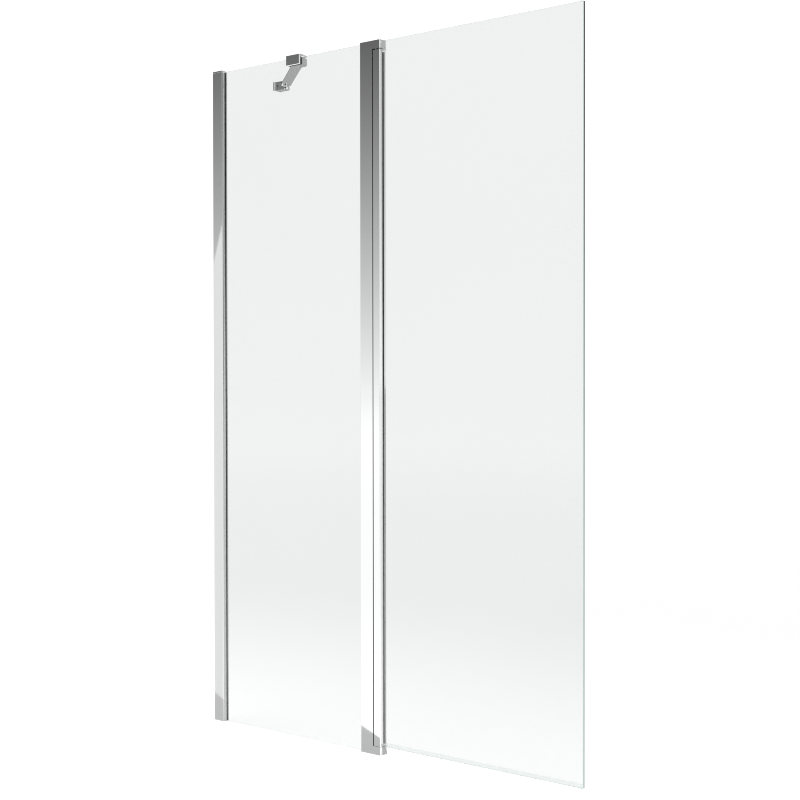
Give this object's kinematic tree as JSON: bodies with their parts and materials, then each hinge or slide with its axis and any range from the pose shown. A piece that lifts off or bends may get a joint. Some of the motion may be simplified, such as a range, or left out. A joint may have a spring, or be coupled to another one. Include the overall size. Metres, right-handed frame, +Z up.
{
  "type": "two-part bath screen",
  "caption": "Bath and shower screen: a fixed glass panel in an adjustable wall jamb, a hinge post with a swinging glass panel, and a stabiliser arm from the glass to the wall.",
  "frame": {"origin": "on the wall face, at the middle of the glass thickness and at the level of the bath rim", "axes": "+X along the screen from the wall to the free edge, +Y through the glass towards the bath, +Z up"},
  "size_m": [1, 0.2305, 1.511],
  "materials": {
    "polished_aluminium": "polished and anodised, bright silver",
    "chrome_fittings": "chrome plated",
    "clear_glass": "clear toughened glass, polished edges",
    "dark_rubber": "matt",
    "grey_gasket": "satin",
    "clear_seal": "clear flexible strip",
    "white_nylon": "smooth",
    "black_steel": "blackened",
    "steel": "stainless"
  },
  "bodies": {
    "wall_mount": {"wall_channel": "polished_aluminium", "wall_top_cap": "chrome_fittings", "lock_screws": "steel", "lock_screw_covers": "chrome_fittings"},
    "frame": {"jamb_profile": "polished_aluminium", "jamb_gaskets": "grey_gasket", "fixed_glass": "clear_glass", "hinge_post": "polished_aluminium", "post_gaskets": "grey_gasket", "pivot_seal": "dark_rubber", "post_top_cap": "chrome_fittings", "post_bottom_cap": "chrome_fittings", "cap_screws": "steel", "pivot_bushes": "white_nylon", "clamp_body": "chrome_fittings", "clamp_pad": "dark_rubber", "clamp_grub_screws": "black_steel", "clamp_pivot_screw": "steel"},
    "door": {"pivot_profile": "polished_aluminium", "door_gaskets": "grey_gasket", "pivot_plates": "chrome_fittings", "pivot_pins": "steel", "plate_screws": "steel", "door_glass": "clear_glass", "bottom_seal": "clear_seal"},
    "arm": {"arm_bar": "chrome_fittings"},
    "wall_bracket": {"wall_bracket": "chrome_fittings", "bracket_pivot_screw": "steel", "bracket_set_screw": "black_steel", "bracket_stud_screw": "black_steel"}
  },
  "joints": [
    {"name": "width_adjust", "type": "slide", "parent": "wall_mount", "child": "frame", "axis": [1, 0, 0], "range_m": [-0.004, 0.006]},
    {"name": "door_swing", "type": "hinge", "parent": "frame", "child": "door", "pos_m": [0.4982, 0, 0.75], "axis": [0, 0, 1], "range_deg": [-90, 90]},
    {"name": "arm_swivel", "type": "hinge", "parent": "frame", "child": "arm", "pos_m": [0.253, 0.022, 1.501], "axis": [0, 0, 1], "range_deg": [-45, 30]},
    {"name": "bracket_swivel", "type": "hinge", "parent": "arm", "child": "wall_bracket", "pos_m": [0.0275, 0.206, 1.501], "axis": [0, 0, 1], "range_deg": [-35, 35]}
  ]
}
